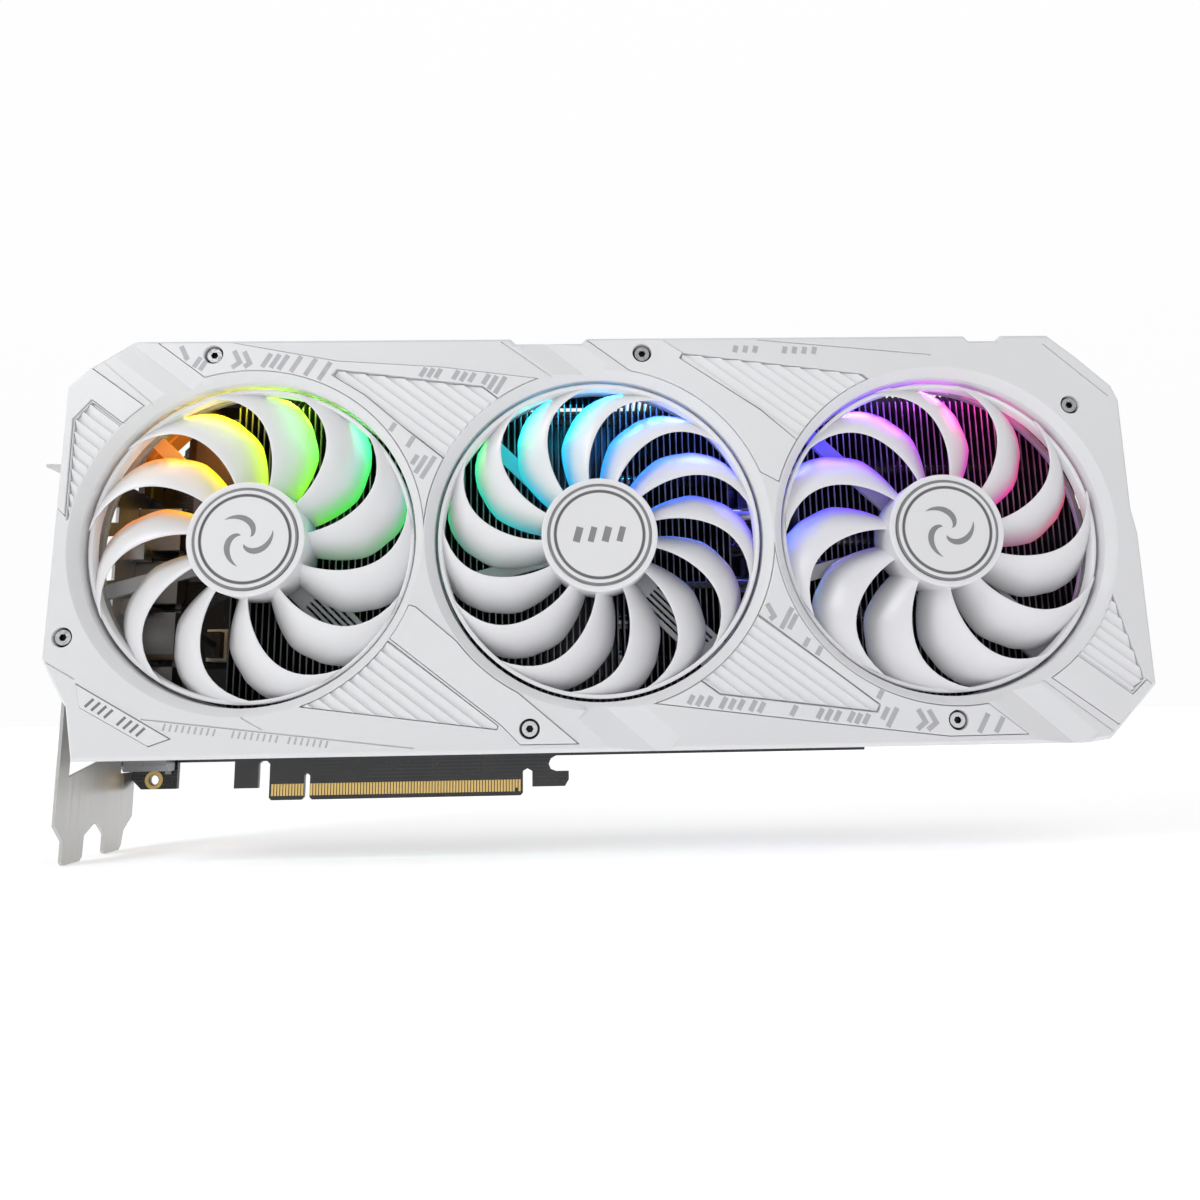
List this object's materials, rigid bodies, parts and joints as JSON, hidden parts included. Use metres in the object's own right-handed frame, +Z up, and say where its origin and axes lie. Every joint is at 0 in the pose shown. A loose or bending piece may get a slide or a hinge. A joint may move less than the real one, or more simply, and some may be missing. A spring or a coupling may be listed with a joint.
{
  "type": "graphics card",
  "caption": "Long graphics card with a faceted white shroud, a row of bladed fans over a black fin stack, a plug-in edge and a steel bracket.",
  "frame": {"origin": "middle of the card edge's key notch, on the board's mid-plane, level with the bottom of the gold fingers", "axes": "+X along the card away from the bracket, +Y from the fans to the backplate, +Z up out of the slot"},
  "size_m": [0.3289, 0.0578, 0.154],
  "materials": {
    "white_shroud": "fine satin moulded white",
    "white_trim": "satin white with printed grey strokes",
    "white_ribs": "satin white saw-tooth ribs",
    "screw_steel": "nickel-plated steel",
    "white_fan": "semi-gloss white",
    "rotor_steel": "turned steel",
    "grey_plastic": "fine matt grey",
    "bearing_brass": "sintered brass",
    "winding_copper": "enamelled windings",
    "black_fin": "black coated",
    "nickel_pipe": "nickel-plated copper",
    "base_aluminium": "dark anodised",
    "solder_mask": "satin black solder mask",
    "gold": "hard gold plate",
    "chip_substrate": "green laminate",
    "silicon": "polished silicon",
    "chip_black": "moulded epoxy",
    "choke_grey": "pressed powder, grey",
    "capacitor_can": "drawn can",
    "socket_black": "moulded nylon",
    "pin_brass": "tinned brass",
    "port_steel": "drawn steel shell",
    "bracket_steel": "brushed stainless",
    "standoff_steel": "zinc-plated",
    "white_backplate": "powder-coated white",
    "black_screw": "black oxide",
    "spring_steel": "spring steel",
    "pad_grey": "soft pad",
    "light_diffuser": "frosted diffuser",
    "led_white": "white strip board",
    "switch_black": "moulded",
    "header_white": "moulded nylon",
    "lead_black": "woven sleeve"
  },
  "bodies": {
    "card": {"shroud": "white_shroud", "trim_upper_left": "white_trim", "trim_top_left": "white_trim", "trim_name_plate": "white_trim", "trim_lower_centre": "white_trim", "trim_top_centre": "white_trim", "trim_lower_right": "white_trim", "trim_tail_corner": "white_trim", "rib_upper_left": "white_ribs", "rib_top_left": "white_ribs", "rib_lower_left": "white_ribs", "rib_top_right": "white_ribs", "rib_lower_right": "white_ribs", "rib_tail": "white_ribs", "shroud_screws": "screw_steel", "bracket_screws": "screw_steel", "fan_frames": "grey_plastic", "fan_bearings": "bearing_brass", "fan_stators": "winding_copper", "fin_stack_left": "black_fin", "fin_stack_right": "black_fin", "heat_pipes": "nickel_pipe", "cold_plate": "nickel_pipe", "base_block": "base_aluminium", "base_frame": "base_aluminium", "circuit_board": "solder_mask", "edge_contacts": "gold", "gpu_substrate": "chip_substrate", "gpu_die": "silicon", "memory_chips": "chip_black", "power_stages": "chip_black", "chokes": "choke_grey", "capacitors": "capacitor_can", "power_sockets": "socket_black", "port_tongues": "socket_black", "power_pins": "pin_brass", "display_sockets": "port_steel", "io_bracket": "bracket_steel", "port_standoffs": "standoff_steel", "backplate": "white_backplate", "backplate_screws": "black_screw", "core_bracket": "spring_steel", "core_screws": "spring_steel", "thermal_pads": "pad_grey", "light_bar": "light_diffuser", "led_strip": "led_white", "switch_housing": "switch_black", "fan_headers": "header_white", "fan_leads": "lead_black"},
    "fan_left": {"fan_left_impeller": "white_fan", "fan_left_cap": "white_fan", "fan_left_rotor": "rotor_steel"},
    "fan_centre": {"fan_centre_impeller": "white_fan", "fan_centre_cap": "white_fan", "fan_centre_rotor": "rotor_steel"},
    "fan_right": {"fan_right_impeller": "white_fan", "fan_right_cap": "white_fan", "fan_right_rotor": "rotor_steel"},
    "selector": {"switch_slider": "switch_black"}
  },
  "joints": [
    {"name": "fan_left_spin", "type": "hinge", "parent": "card", "child": "fan_left", "pos_m": [-0.0035, -0.04, 0.0785], "axis": [0, -1, 0], "continuous": true},
    {"name": "fan_centre_spin", "type": "hinge", "parent": "card", "child": "fan_centre", "pos_m": [0.099, -0.04, 0.0785], "axis": [0, 1, 0], "continuous": true},
    {"name": "fan_right_spin", "type": "hinge", "parent": "card", "child": "fan_right", "pos_m": [0.2015, -0.04, 0.0785], "axis": [0, -1, 0], "continuous": true},
    {"name": "selector_slide", "type": "slide", "parent": "card", "child": "selector", "axis": [1, 0, 0], "range_m": [0, 0.002]}
  ]
}
